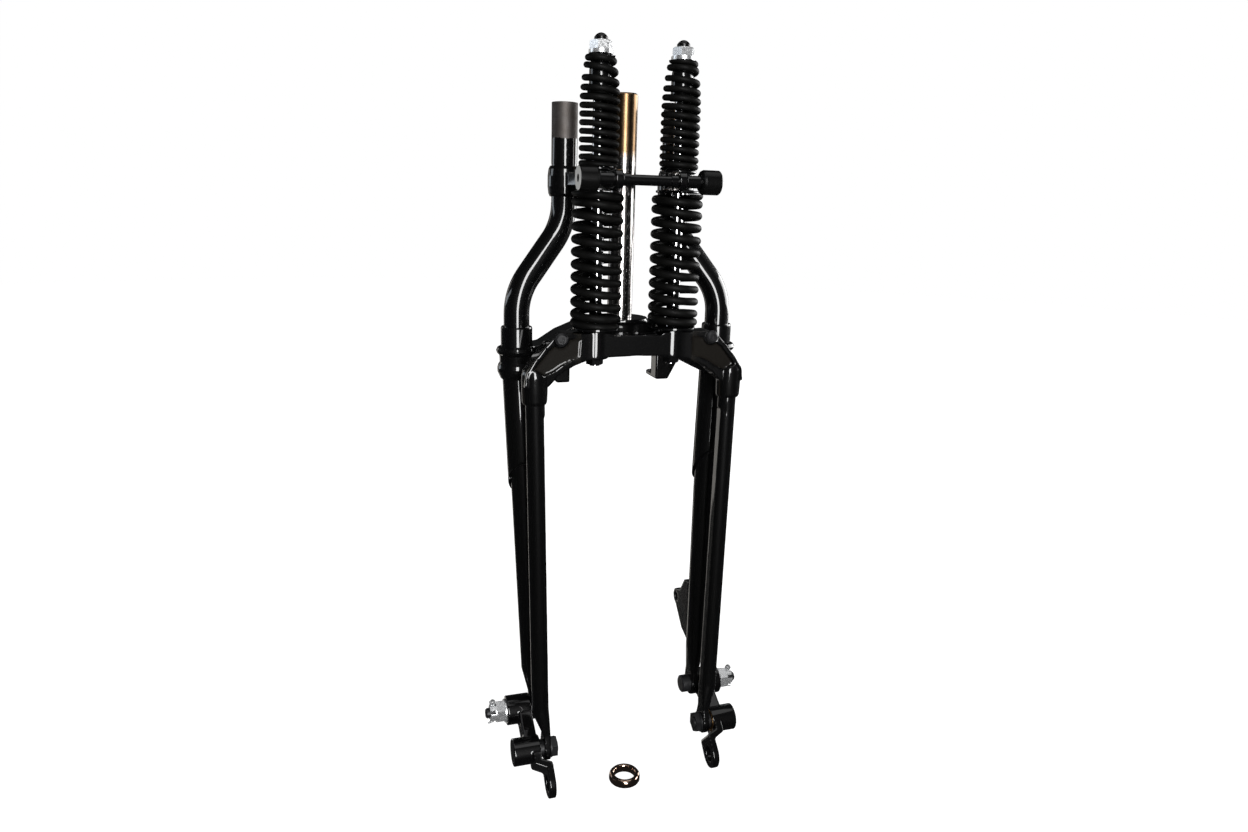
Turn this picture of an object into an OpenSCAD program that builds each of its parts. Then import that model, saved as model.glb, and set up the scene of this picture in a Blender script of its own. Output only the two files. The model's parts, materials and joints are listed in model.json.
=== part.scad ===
// Leading-link springer fork: a rigid rear fork with the steering stem, a sprung front fork that
// slides on it, and a rocker each side that carries the wheel axle ahead of the legs.
// Millimetres. Z is up along the steering stem, the front of the fork faces -Y, and the origin is
// on the stem's axis at the seat of the lower steering bearing. "Left" pieces lie on the -X side.

/* [Steering stem] */
// Outside diameter of the steering stem
stem_d = 25.4; // [24:0.2:26.4]
// Bore of the hollow steering stem
stem_bore = 18; // [12:1:20]
// Height of the stem's top above the bearing seat
stem_top = 217; // [190:1:230]

/* [Rear fork] */
// Outside diameter of the rear tubes and legs
tube_d = 25.4; // [24:0.2:26]
// Wall of the rear tubes
tube_wall = 3; // [2:0.5:4]
// Distance from the middle to each rear tube above the bend
riser_x = 57.7; // [55:0.1:60]
// Setback of the rear tubes above the bend
riser_y = 10; // [8:1:12]
// Height of the rear tubes' tops
riser_top = 206; // [200:2:220]
// Distance from the middle to each crown collar
collar_x = 108; // [106:0.5:110]
// Setback of the crown collars
collar_y = -4; // [-6:1:-2]
// Radius of both bends of a rear tube
bend_r = 60; // [52:2:66]
// Lean of the rear tube between its two bends, degrees
bend_angle = 38; // [36:1:40]

/* [Spring fork] */
// Distance between the two spring rods
rod_gap = 79.4; // [78:0.2:81]
// Distance of the rods' plane in front of the stem
rod_y = -49; // [-51:1:-47]
// Diameter of a spring rod
rod_d = 12.7; // [12:0.1:13]
// Height of the springs' lower seat
crown_top = -6; // [-8:1:-4]
// Distance from the middle to each front leg at the crown
leg_x = 100.8; // [100:0.2:102]
// Setback of the front legs at the crown
leg_y = -56; // [-58:1:-54]
// Diameter of a front leg at the crown
leg_d = 19; // [18:0.5:20]

/* [Springs] */
// Underside of the spring bridge, where the cushion springs end
bridge_bottom = 124; // [122:1:126]
// Upper side of the spring bridge, where the recoil springs start
bridge_top = 145; // [144:1:147]
// Underside of the top washers, where the recoil springs end
recoil_top = 243; // [240:1:246]
// Outside diameter of a cushion spring
cushion_od = 49.5; // [47:0.5:50]
// Wire of a cushion spring
cushion_wire = 6.8; // [6:0.1:7]
// Turns of a cushion spring
cushion_turns = 11.3; // [10:0.1:11.5]
// Outside diameter of a recoil spring at the bridge
recoil_od = 37.6; // [36:0.2:39]
// Outside diameter of a recoil spring at its top
recoil_top_od = 27.2; // [26:0.2:29]
// Wire of a recoil spring
recoil_wire = 5.2; // [4.8:0.1:5.4]
// Turns of a recoil spring
recoil_turns = 12; // [10:0.5:13]

/* [Rockers] */
// Setback of the rear rocker studs
rear_stud_y = -22; // [-24:1:-20]
// Height of the rear rocker studs
rear_stud_z = -424; // [-426:1:-422]
// Setback of the front rocker studs
front_stud_y = -66; // [-68:1:-64]
// Height of the front rocker studs
front_stud_z = -446; // [-448:1:-444]
// Setback of the axle eyes
eye_y = -92; // [-93:1:-90]
// Height of the axle eyes
eye_z = -470; // [-472:1:-468]
// Diameter of a rocker stud
stud_d = 12.7; // [12:0.1:13]
// Bore of an axle eye
axle_bore = 16; // [14:0.5:18]

/* [Hidden] */

$fn = 64;
rod_x = rod_gap / 2;
rod_r = rod_d / 2;
stem_r = stem_d / 2;
tube_r = tube_d / 2;
stud_r = stud_d / 2;
bore_play = 0.05;    // radial play of a sliding or turning fit, and of a welded sleeve
gap = 0.3;           // clear distance between pieces that move past each other
cut = 1;             // how far a cutter runs past the face it opens

stem_root_r = stem_r + 0.25;  // the stem where it is pressed into the rear crown
seat_flange_r = 29;      // bearing seat on the rear crown
collar_top = -8;         // a collar's upper end
collar_end = -60;        // and its lower end, where the leg's sleeve starts
joint_z = -34;           // a rear tube and its leg meet here, inside the collar

sleeve_r = 15.4;         // reinforcing sleeve of a rear leg
sleeve_end = -170;       // height of its slanting end, beside the leg
scarf_angle = 56;        // the end's slant above the horizontal
taper_z = -180;          // a rear leg is round above this height
blade_in = 89;           // inner face of a rear leg's flat end
blade_out = 98;          // and its outer face

lug_r = 16.2;            // lug that carries the bridge on a rear tube
lug_bottom = 118;
lug_top = 147;
seat_z = lug_top + 2;    // the handlebar's clamp sits on a rear tube above this height,
seat_step = 0.2;         // where the tube is wider by this radius than it is in the lug
bar_y = rod_y - 32;      // cross bar in front of the bridge
bar_z = 134;
bar_r = 4.75;
neck_r = 5.7;
knob_r = 11.2;
knob_in = 49;            // a knob's inner end
knob_out = 67.7;
boss_r = 15;             // the bridge's bosses round the rods
bushing_r = 8.5;         // outside of a rod bushing

arm_bolt_x = 77;         // round-headed bolt at the top of each of the front crown's arms
arm_bolt_y = rod_y - 13.8;
arm_bolt_z = -12.8;
arm_bolt_r = 6.2;
arm_bolt_shank_r = 4;
tip_in = 86;             // inner face of a front leg's flat tip
tip_out = 93;            // and its outer face
rod_foot_r = 5;          // a rod below its shoulder on the crown
rod_foot_z = -41;
nut_z = 246.2;           // underside of a rod's top nut
cap_z = 254.6;           // underside of a rod's end cap
cap_top = 260.6;

hub_in = 98.7;           // inner face of a rear hub
hub_out = 124;
rear_hub_r = 15.5;
front_hub_in = 97;       // inner face of a front hub
front_hub_out = 125;
front_hub_r = 14;
arm_out = 112;           // outer face of a rocker's arm
eye_in = 87;             // faces of an axle eye
eye_out = 94;
eye_r = 15;
rear_bush_r = 9;         // outside of the rear hub's bushing
front_bush_r = 12.2;     // outside of the front hub's bushing
open_bore_r = 10.1;      // its bore: the linkage is opened at this pivot, so it has room
open_stud_r = 4.6;       // for the stud to move off the hub's arc

// ---- helpers ----

// Puts its children on the right (+X) or, mirrored, on the left.
module on_side(right) {
    mirror([right ? 0 : 1, 0, 0]) children();
}

// The same child on both sides.
module both_sides() {
    for (right = [true, false]) on_side(right) children();
}

// A cylinder along X from x0 to x1, at (y, z).
module x_cylinder(x0, x1, y, z, r) {
    translate([x0, y, z]) rotate([0, 90, 0]) cylinder(h = x1 - x0, r = r);
}

// A hexagonal prism along X, measured across its flats.
module x_hexagon(x0, x1, y, z, flats) {
    translate([x0, y, z]) rotate([0, 90, 0]) cylinder(h = x1 - x0, r = flats / 2 / cos(30), $fn = 6);
}

// A hexagonal prism standing on z0, measured across its flats.
module z_hexagon(z0, z1, flats) {
    translate([0, 0, z0]) cylinder(h = z1 - z0, r = flats / 2 / cos(30), $fn = 6);
}

// Extrudes an outline drawn in X and Z between two setbacks.
module front_outline(y0, y1) {
    translate([0, y1, 0]) rotate([90, 0, 0]) linear_extrude(y1 - y0) children();
}

// Extrudes an outline drawn in Y and Z from x0 to x1.
module side_outline(x0, x1) {
    translate([x0, 0, 0]) rotate([90, 0, 90]) linear_extrude(x1 - x0) children();
}

// A bar with round ends between two points of a side view.
module side_link(a, b, r_a, r_b) {
    length = norm(b - a);
    angle = atan2(b[1] - a[1], b[0] - a[0]);
    slope = asin((r_a - r_b) / length);
    translate(a) circle(r_a);
    translate(b) circle(r_b);
    translate(a) rotate(angle) polygon([
        [r_a * sin(slope), -r_a * cos(slope)],
        [length + r_b * sin(slope), -r_b * cos(slope)],
        [length + r_b * sin(slope), r_b * cos(slope)],
        [r_a * sin(slope), r_a * cos(slope)]
    ]);
}

// A round bar from point a to point b, with a radius at each end.
module bar_between(a, b, r_a, r_b) {
    along = b - a;
    length = norm(along);
    translate(a) rotate([0, acos(along[2] / length), atan2(along[1], along[0])])
        cylinder(h = length, r1 = r_a, r2 = r_b);
}

// ---- coil springs ----

// Height of the wire's centre after a number of turns: closed ends, even pitch between them.
function coil_z(turn, turns, z0, z1, wire, dead = 0.9) =
    let (close = wire * 1.04, pitch = (z1 - z0 - wire - 2 * dead * close) / (turns - 2 * dead))
    turn < dead ? z0 + wire / 2 + turn * close :
    turn > turns - dead ? z1 - wire / 2 - (turns - turn) * close :
    z0 + wire / 2 + dead * close + (turn - dead) * pitch;

// Mean radius of a coil at height z, drawn in towards the top over the last stretch.
function coil_r(z, z1, r_low, r_high, stretch) =
    let (t = min(1, max(0, (z1 - z) / stretch))) r_high + (r_low - r_high) * t * (2 - t);

// The wire as one closed tube of rings.
module coil(turns, z0, z1, wire, r_low, r_high, stretch, start = 0, per_turn = 14, sides = 6) {
    rings = round(turns * per_turn);
    points = [
        for (i = [0 : rings], k = [0 : sides - 1])
            let (turn = turns * i / rings, z = coil_z(turn, turns, z0, z1, wire),
                 r = coil_r(z, z1, r_low, r_high, stretch) + wire / 2 * cos(360 * k / sides),
                 a = start + 360 * turn)
            [r * cos(a), r * sin(a), z + wire / 2 * sin(360 * k / sides)]
    ];
    walls = [
        for (i = [0 : rings - 1], k = [0 : sides - 1], half = [0, 1])
            let (next = (k + 1) % sides, low = i * sides, high = low + sides)
            half == 0 ? [low + k, high + k, high + next] : [low + k, high + next, low + next]
    ];
    first_cap = [for (k = [0 : sides - 1]) k];
    last_cap = [for (k = [sides - 1 : -1 : 0]) rings * sides + k];
    polyhedron(points, concat(walls, [first_cap], [last_cap]));
}

// ---- steering stem and rear crown ----

module steering_stem() {
    chamfer = 1.5;
    socket_bottom = -34;
    color("silver") difference() {
        union() {
            translate([0, 0, socket_bottom]) cylinder(h = -socket_bottom, r = stem_root_r);
            cylinder(h = stem_top - chamfer, r = stem_r);
            translate([0, 0, stem_top - chamfer])
                cylinder(h = chamfer, r1 = stem_r, r2 = stem_r - chamfer);
        }
        translate([0, 0, socket_bottom - cut])
            cylinder(h = stem_top - socket_bottom + 2 * cut, r = stem_bore / 2);
    }
}

// A collar's outline, grown by a little where it cuts the crown.
module collar_turning(grow) {
    rotate_extrude() polygon([
        [0, collar_top + grow], [14.9 + grow, collar_top + grow], [15.6 + grow, -9.5],
        [15.6 + grow, -27], [19 + grow, -28.8], [20.4 + grow, -31.8], [19.4 + grow, -34.6],
        [17.2 + grow, -36.4], [16.8 + grow, -43.5], [18.4 + grow, -46], [19.3 + grow, -49.5],
        [19.1 + grow, -53], [17.8 + grow, -56], [16 + grow, collar_end - grow],
        [0, collar_end - grow]
    ]);
}

module rear_crown() {
    front = -17;
    back = 15;
    lug_front = 14;
    lug_back = 32;
    foot_x = 55;
    foot_y = 45;
    foot_bottom = -71;
    foot_h = 5;
    color("black") difference() {
        union() {
            front_outline(front, back) polygon([
                [-100, -27], [-84, -24.5], [-66, -13], [-44, -4], [44, -4], [66, -13], [84, -24.5],
                [100, -27], [100, -56], [88, -57], [66, -46], [42, -37], [-42, -37], [-66, -46],
                [-88, -57], [-100, -56]
            ]);
            translate([0, 0, -4]) cylinder(h = 4, r = seat_flange_r);
            translate([0, 0, -37]) cylinder(h = 34, r = 23);
            // Lugs that hang behind the crown, each with a foot for the mudguard stay.
            both_sides() {
                front_outline(lug_front, lug_back) polygon([
                    [48, -26], [74, -30], [72, -52], [62, foot_bottom], [48, foot_bottom]
                ]);
                hull() {
                    translate([48, lug_front + 2, foot_bottom]) cube([13.8, 14, foot_h]);
                    translate([foot_x, foot_y, foot_bottom]) cylinder(h = foot_h, r = 7);
                }
            }
        }
        translate([0, 0, -60]) cylinder(h = 80, r = stem_root_r + bore_play);
        both_sides() {
            translate([collar_x, collar_y, 0]) collar_turning(bore_play);
            translate([foot_x, foot_y, foot_bottom - cut]) cylinder(h = foot_h + 2 * cut, r = 4);
            // Space between the collar and the outline's end.
            translate([collar_x, collar_y, -100]) cylinder(h = 40 - bore_play, r = 40);
        }
    }
}

module tube_collar(right) {
    on_side(right) color("black") translate([collar_x, collar_y, 0]) difference() {
        collar_turning(0);
        translate([0, 0, joint_z - 1]) cylinder(h = 50, r = tube_r + bore_play);
        // Relief where the upright tube ends and the leg, which leans a little, begins.
        translate([0, 0, joint_z - 3]) cylinder(h = 3.5, r = tube_r + 0.8);
        translate([-collar_x, -collar_y, 0])
            bar_between(leg_at(joint_z - 2), leg_at(collar_end - 10), tube_r + bore_play, tube_r + bore_play);
    }
}

// ---- rear tubes and legs ----

// A rear tube's run in its own plane: up, out of line by the two bends, then up again. The bends
// are drawn a hair slimmer than the straights, so each joint is a small step and not a tangent.
// The seat for the handlebar's clamp is at full size, above the slimmer stretch in the lug.
module tube_run(r, extra) {
    slim = r - 0.05;
    shift = norm([collar_x - riser_x, riser_y - collar_y]);
    slant = (shift - 2 * bend_r * (1 - cos(bend_angle))) / sin(bend_angle);
    bend_x = bend_r * (1 - cos(bend_angle));
    bend_z = bend_r * sin(bend_angle);
    low_bend = 4;
    lap = 0.05;
    high_bend = low_bend + 2 * bend_z + slant * cos(bend_angle);
    translate([0, 0, joint_z - extra]) cylinder(h = low_bend - joint_z + extra + lap, r = r);
    translate([bend_r, 0, low_bend]) tube_bend(slim, 180 - bend_angle - extra, bend_angle + 2 * extra);
    translate([bend_x, 0, low_bend + bend_z]) rotate([0, bend_angle, 0]) translate([0, 0, -lap])
        cylinder(h = slant + 2 * lap, r = r);
    translate([shift - bend_r, 0, high_bend]) tube_bend(slim, -bend_angle - extra, bend_angle + 2 * extra);
    translate([shift, 0, high_bend - lap]) cylinder(h = seat_z - high_bend + 2 * lap, r = r - seat_step);
    translate([shift, 0, seat_z]) cylinder(h = riser_top - seat_z + extra, r = r);
}

// A bend standing in the XZ plane, from an angle above +X onwards.
module tube_bend(r, from, sweep) {
    rotate([90, 0, 0]) rotate([0, 0, from]) rotate_extrude(angle = sweep) translate([bend_r, 0]) circle(r);
}

module rear_tube(right) {
    turn = atan2(riser_y - collar_y, riser_x - collar_x);
    on_side(right) color("black") translate([collar_x, collar_y, 0]) rotate([0, 0, turn]) difference() {
        tube_run(tube_r, 0);
        tube_run(tube_r - tube_wall, 1);
    }
}

leg_top = [collar_x, collar_y, joint_z - 1];
leg_taper = [101.9, -10.6, taper_z];
leg_ankle = [96.2, -19.6, rear_stud_z + 48];
ankle_squeeze = 0.8;     // a rear leg's width there, as a share of its depth
flat_top = rear_stud_z + 16;
flat_r = 4.6;            // half the thickness of a rear leg where its flat end starts

// The point of a rear leg's axis at height z.
function leg_at(z) = leg_top + (leg_taper - leg_top) * (z - leg_top[2]) / (leg_taper[2] - leg_top[2]);

// The lower half of a rear leg narrows a little from the round to an oval ankle.
module leg_taper_body(grow) {
    hull() {
        translate(leg_taper) cylinder(h = 0.5, r = tube_r + grow, $fn = 32);
        ankle(grow);
    }
}

module ankle(grow) {
    translate(leg_ankle) scale([ankle_squeeze, 1, 1]) cylinder(h = 1, r = tube_r + grow, $fn = 32);
}

// The edge-on oblong that starts a rear leg's flat end.
module flat_start() {
    for (dy = [-7, 7]) translate([blade_in + flat_r, rear_stud_y + 1.5 + dy, flat_top])
        cylinder(h = 1, r = flat_r, $fn = 24);
}

module rear_leg(right) {
    on_side(right) color("black") difference() {
        union() {
            bar_between(leg_top, leg_taper, tube_r, tube_r);
            leg_taper_body(0);
            hull() {
                ankle(0.1);
                flat_start();
            }
            hull() {
                flat_start();
                x_cylinder(blade_in, blade_out, rear_stud_y, rear_stud_z + 2, 12);
            }
            x_cylinder(blade_in, blade_out, rear_stud_y, rear_stud_z, 13);
        }
        x_cylinder(blade_in - 10, blade_out + 10, rear_stud_y, rear_stud_z, stud_r + bore_play);
        // The flat end's two faces are planed true.
        translate([blade_in - 20, -60, rear_stud_z - 20]) cube([20, 80, 35.5]);
        translate([blade_out, -60, rear_stud_z - 20]) cube([20, 80, 35.5]);
    }
}

module leg_sleeve(right) {
    on_side(right) color("black") difference() {
        bar_between(leg_at(collar_end + 4), leg_at(sleeve_end - 30), sleeve_r, sleeve_r);
        bar_between(leg_at(collar_end + 8), leg_at(sleeve_end - 40), tube_r + bore_play, tube_r + bore_play);
        // The slanting end is lowest at the back.
        translate([0, leg_taper[1] + 4.8, sleeve_end]) rotate([-scarf_angle, 0, 0])
            translate([0, -150, -200]) cube([200, 300, 200]);
        translate([collar_x - 40, -60, collar_end - bore_play]) cube([80, 100, 20]);
    }
}

module brake_anchor() {
    anchor_eye = [25.5, -337];
    anchor_r = 9.5;
    anchor_in = 88.6;
    anchor_out = 95.6;
    leg_back = -12;
    color("black") difference() {
        side_outline(anchor_in, anchor_out) difference() {
            union() {
                translate(anchor_eye) circle(anchor_r);
                polygon([
                    [leg_back, -374.5], [6, -368], [18, -356], anchor_eye + [8.8, -2.2],
                    anchor_eye + [1.8, 8.9], [16, -324], [4, -306], [leg_back, -303]
                ]);
            }
            translate(anchor_eye) circle(5);
        }
        leg_taper_body(0.2);
        translate([anchor_in - 10, leg_back - 40, -400]) cube([30, 40, 120]);
    }
}

// ---- spring bridge ----

module tube_lug(right) {
    mid = (lug_bottom + lug_top) / 2;
    on_side(right) color("black") translate([riser_x, riser_y, 0]) difference() {
        rotate_extrude() polygon([
            [0, lug_bottom], [14, lug_bottom], [15.4, lug_bottom + 3], [lug_r, mid - 5],
            [lug_r, mid + 5], [15.4, lug_top - 3], [14, lug_top], [0, lug_top]
        ]);
        translate([0, 0, lug_bottom - cut])
            cylinder(h = lug_top - lug_bottom + 2 * cut, r = tube_r + bore_play);
    }
}

// A bracket that guides a rod and seats both springs, from the rear tube's lug to the cross bar.
module rod_bracket(right) {
    flange = 2.5;
    arm_half = 8;
    on_side(right) color("black") difference() {
        union() {
            translate([rod_x, rod_y, bridge_bottom]) cylinder(h = bridge_top - bridge_bottom, r = boss_r);
            translate([rod_x, rod_y, bridge_bottom]) cylinder(h = flange, r = 21);
            translate([rod_x, rod_y, bridge_top - flange]) cylinder(h = flange, r = 17);
            // Arm from the boss back to the lug on the rear tube.
            translate([0, 0, bridge_bottom + 4]) linear_extrude(13) polygon([
                [rod_x - arm_half, rod_y], [rod_x + arm_half + 3, rod_y],
                [riser_x + 7, riser_y], [riser_x - 9, riser_y]
            ]);
            // Ear that holds the cross bar in front of the boss.
            side_outline(rod_x - 13, rod_x - 5) side_link([rod_y, bar_z], [bar_y, bar_z], 9, 8.5);
        }
        translate([rod_x, rod_y, bridge_bottom - cut])
            cylinder(h = bridge_top - bridge_bottom + 2 * cut, r = bushing_r + 0.02);
        translate([riser_x, riser_y, lug_bottom]) cylinder(h = 40, r = lug_r + bore_play);
        x_cylinder(0, rod_x, bar_y, bar_z, neck_r + bore_play);
    }
}

module bridge_bushings() {
    color("peru") both_sides() translate([rod_x, rod_y, bridge_bottom]) difference() {
        cylinder(h = bridge_top - bridge_bottom, r = bushing_r);
        translate([0, 0, -cut]) cylinder(h = bridge_top - bridge_bottom + 2 * cut, r = rod_r + bore_play);
    }
}

module bridge_cross_bar() {
    neck_in = 20;
    spigot_r = 5;
    spigot_out = 58;
    color("black") union() {
        x_cylinder(-neck_in, neck_in, bar_y, bar_z, bar_r);
        both_sides() {
            x_cylinder(neck_in, knob_in - bore_play, bar_y, bar_z, neck_r);
            x_cylinder(knob_in - bore_play, spigot_out, bar_y, bar_z, spigot_r);
        }
    }
}

module bridge_end_knobs() {
    length = knob_out - knob_in;
    color([0.05, 0.05, 0.05]) both_sides() translate([knob_in, bar_y, bar_z]) rotate([0, 90, 0])
        rotate_extrude() polygon([
            [5.05, 0], [8.4, 0], [knob_r - 0.8, 1.2], [knob_r, 3], [knob_r, length - 1],
            [knob_r - 0.8, length], [3.75, length], [3.75, 9.5], [5.05, 9.5]
        ]);
}

// ---- rear rocker studs ----

module rear_stud(right) {
    head_in = 79;
    end_out = 146;
    on_side(right) color("dimgray") difference() {
        union() {
            x_cylinder(head_in + 1.2, blade_in - bore_play, rear_stud_y, rear_stud_z, 9.6);
            translate([head_in, rear_stud_y, rear_stud_z]) rotate([0, 90, 0])
                cylinder(h = 1.2, r1 = 8.4, r2 = 9.6);
            x_cylinder(blade_in - bore_play, hub_out + 2, rear_stud_y, rear_stud_z, stud_r);
            x_cylinder(hub_out + 2, end_out - 1.5, rear_stud_y, rear_stud_z, 5.4);
            translate([end_out - 1.5, rear_stud_y, rear_stud_z]) rotate([0, 90, 0])
                cylinder(h = 1.5, r1 = 5.4, r2 = 4.2);
        }
        translate([138.5, rear_stud_y, rear_stud_z - 20]) cylinder(h = 40, r = 1.55);
    }
}

module rear_stud_washers() {
    color("silver") both_sides() difference() {
        x_cylinder(hub_out + gap, hub_out + 2, rear_stud_y, rear_stud_z, 12.2);
        x_cylinder(hub_out - 2, hub_out + 4, rear_stud_y, rear_stud_z, stud_r + bore_play);
    }
}

module castle_nuts() {
    base = hub_out + 2.05;
    crown = 135;
    top = 141.5;
    color("silver") both_sides() difference() {
        union() {
            x_hexagon(base, crown, rear_stud_y, rear_stud_z, 20.6);
            x_cylinder(crown, top, rear_stud_y, rear_stud_z, 8.8);
        }
        x_cylinder(base - cut, top + cut, rear_stud_y, rear_stud_z, 5.45);
        for (turn = [0, 60, 120]) translate([0, rear_stud_y, rear_stud_z]) rotate([turn, 0, 0])
            translate([crown + 0.8, -1.7, -20]) cube([20, 3.4, 40]);
    }
}

module cotter_pins() {
    x = 138.5;
    r = 1.4;
    color("gainsboro") both_sides() union() {
        translate([x, rear_stud_y, rear_stud_z - 11]) cylinder(h = 22, r = r);
        translate([x, rear_stud_y, rear_stud_z + 12]) rotate([90, 0, 0]) difference() {
            cylinder(h = 2.6, r = 3.2, center = true);
            cylinder(h = 4, r = 1.5, center = true);
        }
        bar_between([x, rear_stud_y, rear_stud_z - 10.4], [x + 5, rear_stud_y, rear_stud_z - 12.4], 1.2, 0.9);
    }
}

// ---- front crown, legs and rods ----

crown_front = -12;     // the front crown's faces, from the rods' plane
crown_back = 12;
lug_drop = -76;        // lower end of a leg's socket

module front_crown() {
    socket_r = 12.6;
    color("black") difference() {
        union() {
            intersection() {
                front_outline(rod_y + crown_front - 8, rod_y + crown_back) polygon(concat(
                    crown_half(1), [for (i = [len(crown_half(-1)) - 1 : -1 : 0]) crown_half(-1)[i]]));
                // Seen from above, the arms sweep forward to the legs.
                translate([0, 0, -100]) linear_extrude(120) polygon([
                    [-116, leg_y + 11], [-50, rod_y + 12], [50, rod_y + 12], [116, leg_y + 11],
                    [116, leg_y - 11], [50, rod_y - 12], [-50, rod_y - 12], [-116, leg_y - 11]
                ]);
            }
            both_sides() {
                translate([rod_x, rod_y, -34]) cylinder(h = crown_top + 34, r = 13);
                translate([leg_x, leg_y, 0]) rotate_extrude() polygon([
                    [0, lug_drop], [socket_r - 1.6, lug_drop], [socket_r - 0.4, lug_drop + 2.5],
                    [socket_r, lug_drop + 12], [socket_r, -47], [socket_r - 1.4, -42.5],
                    [socket_r - 5, -39], [0, -37.5]
                ]);
            }
        }
        both_sides() {
            translate([rod_x, rod_y, -50]) cylinder(h = 60, r = rod_foot_r + bore_play);
            bar_between(leg_head, leg_head + (leg_knee - leg_head) * 0.1,
                        leg_d / 2 + bore_play, leg_d / 2 + bore_play);
            // Panel sunk into the front of each arm, between raised edges that pass below the bolt.
            front_outline(rod_y - 30, rod_y - 12) difference() {
                arm_panel();
                translate([arm_bolt_x, arm_bolt_z]) circle(arm_bolt_r + 2.2);
            }
            at_arm_bolt() cylinder(h = 20, r = arm_bolt_r + 0.4);
            at_arm_bolt() translate([0, 0, -12.5]) cylinder(h = 14, r = arm_bolt_shank_r + bore_play);
        }
    }
}

// A round-headed bolt at the top of each of the front crown's arms.
module crown_bolts() {
    color("dimgray") both_sides() at_arm_bolt() difference() {
        union() {
            cylinder(h = 3, r = arm_bolt_r);
            translate([0, 0, 3]) cylinder(h = 1.4, r1 = arm_bolt_r, r2 = arm_bolt_r - 1.8);
            translate([0, 0, -12]) cylinder(h = 12, r = arm_bolt_shank_r);
        }
        translate([0, 0, 2]) cylinder(h = 4, r = 2.9, $fn = 6);
    }
}

// Puts its children at the right arm's bolt, with their Z pointing forwards.
module at_arm_bolt() {
    translate([arm_bolt_x, arm_bolt_y, arm_bolt_z]) rotate([90, 0, 0]) children();
}

// Half of the crown's outline, from the middle of its top round to the middle of its underside.
function crown_half(s) = [
    [0, -11], [s * 24, -11], [s * 28, crown_top - 2], [s * 54, crown_top - 2], [s * 75, -7],
    [s * 84, -12], [s * 93, -21], [s * 103, -33], [s * 111, -45], [s * 112.5, -58], [s * 88.5, -58],
    [s * 80, -49], [s * 72, -43.5], [s * 62, -38.5], [s * 50, -34.5], [s * 30, -32], [0, -31]
];

module arm_panel() {
    polygon([[57, -13], [74, -13], [88, -23], [103, -41], [93, -47], [84, -43.5], [74, -37], [58, -30.5]]);
}

leg_head = [leg_x, leg_y, lug_drop + 26];
leg_knee = [94.4, front_stud_y + 4, front_stud_z + 42];
leg_lean = atan2(leg_head[0] - leg_knee[0], leg_head[2] - leg_knee[2]);
knee_r = 9.3;

module front_leg(right) {
    flat = 7.6;      // distance of the flat inner side from the leg's axis
    flat_from = 38;  // how far below the leg's head it starts
    tip_top = front_stud_z + 17;
    on_side(right) color("black") difference() {
        union() {
            difference() {
                bar_between(leg_head, leg_knee, leg_d / 2, knee_r);
                // The inner side is flat from a little below the crown.
                translate(leg_head) rotate([0, leg_lean, 0])
                    translate([-40 - flat, -50, -flat_from - 400]) cube([40, 100, 400]);
            }
            // The flat tip starts a hair wider than the round, so the round ends inside it.
            hull() {
                intersection() {
                    translate(leg_knee) cylinder(h = 2, r = knee_r + 0.25, $fn = 32);
                    translate(leg_knee - [flat + 0.3, 20, 0]) cube([30, 40, 3]);
                }
                translate([tip_in, front_stud_y - 8, tip_top]) cube([tip_out - tip_in, 16, 1]);
            }
            hull() {
                translate([tip_in, front_stud_y - 8, tip_top]) cube([tip_out - tip_in, 16, 1]);
                x_cylinder(tip_in, tip_out, front_stud_y, front_stud_z + 4, 11.5);
            }
            x_cylinder(tip_in, tip_out, front_stud_y, front_stud_z, 12.6);
        }
        x_cylinder(tip_in - cut, tip_out + 12, front_stud_y, front_stud_z, stud_r + bore_play);
    }
}

module cushion_spring_seats() {
    color("black") both_sides() translate([rod_x, rod_y, 0]) rotate_extrude() polygon([
        [rod_r + bore_play, crown_top + 0.05], [21.5, crown_top + 0.05], [22.5, crown_top + 1],
        [22.5, crown_top + 2.5], [17.2, crown_top + 2.5], [16.4, crown_top + 3.6],
        [rod_r + bore_play, crown_top + 3.6]
    ]);
}

module spring_rod(right) {
    spigot_r = 4;
    on_side(right) color("silver") translate([rod_x, rod_y, 0]) union() {
        translate([0, 0, rod_foot_z]) cylinder(h = crown_top - rod_foot_z, r = rod_foot_r);
        translate([0, 0, crown_top]) cylinder(h = cap_z - 0.1 - crown_top, r = rod_r);
        translate([0, 0, cap_z - 0.1]) cylinder(h = 3, r = spigot_r);
    }
}

module rod_lower_nuts() {
    color("black") both_sides() translate([rod_x, rod_y, 0]) difference() {
        z_hexagon(rod_foot_z + 1.5, -34.5, 15);
        translate([0, 0, -60]) cylinder(h = 40, r = rod_foot_r + bore_play);
    }
}

module rod_top_washers() {
    color("silver") both_sides() translate([rod_x, rod_y, 0]) difference() {
        translate([0, 0, recoil_top]) cylinder(h = nut_z - recoil_top - 0.05, r = 11);
        translate([0, 0, recoil_top - cut]) cylinder(h = 10, r = rod_r + bore_play);
    }
}

// Sleeves under the top washers that centre the recoil springs, kept clear of the coils.
module recoil_spring_retainers() {
    bore = rod_r + bore_play;
    color("black") both_sides() translate([rod_x, rod_y, recoil_top]) rotate_extrude() polygon([
        [bore, -30], [10.2, -30], [10.2, -14], [9.6, -10], [9, -6.5], [8.4, -3.5], [7.9, -0.1], [bore, -0.1]
    ]);
}

module rod_top_nuts() {
    color("silver") both_sides() translate([rod_x, rod_y, 0]) difference() {
        intersection() {
            z_hexagon(nut_z, cap_z - 0.6, 18.4);
            rotate_extrude() polygon([
                [0, nut_z], [10.6, nut_z], [10.6, cap_z - 2], [9, cap_z - 0.6], [0, cap_z - 0.6]
            ]);
        }
        translate([0, 0, nut_z - cut]) cylinder(h = 20, r = rod_r + bore_play);
    }
}

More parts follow.
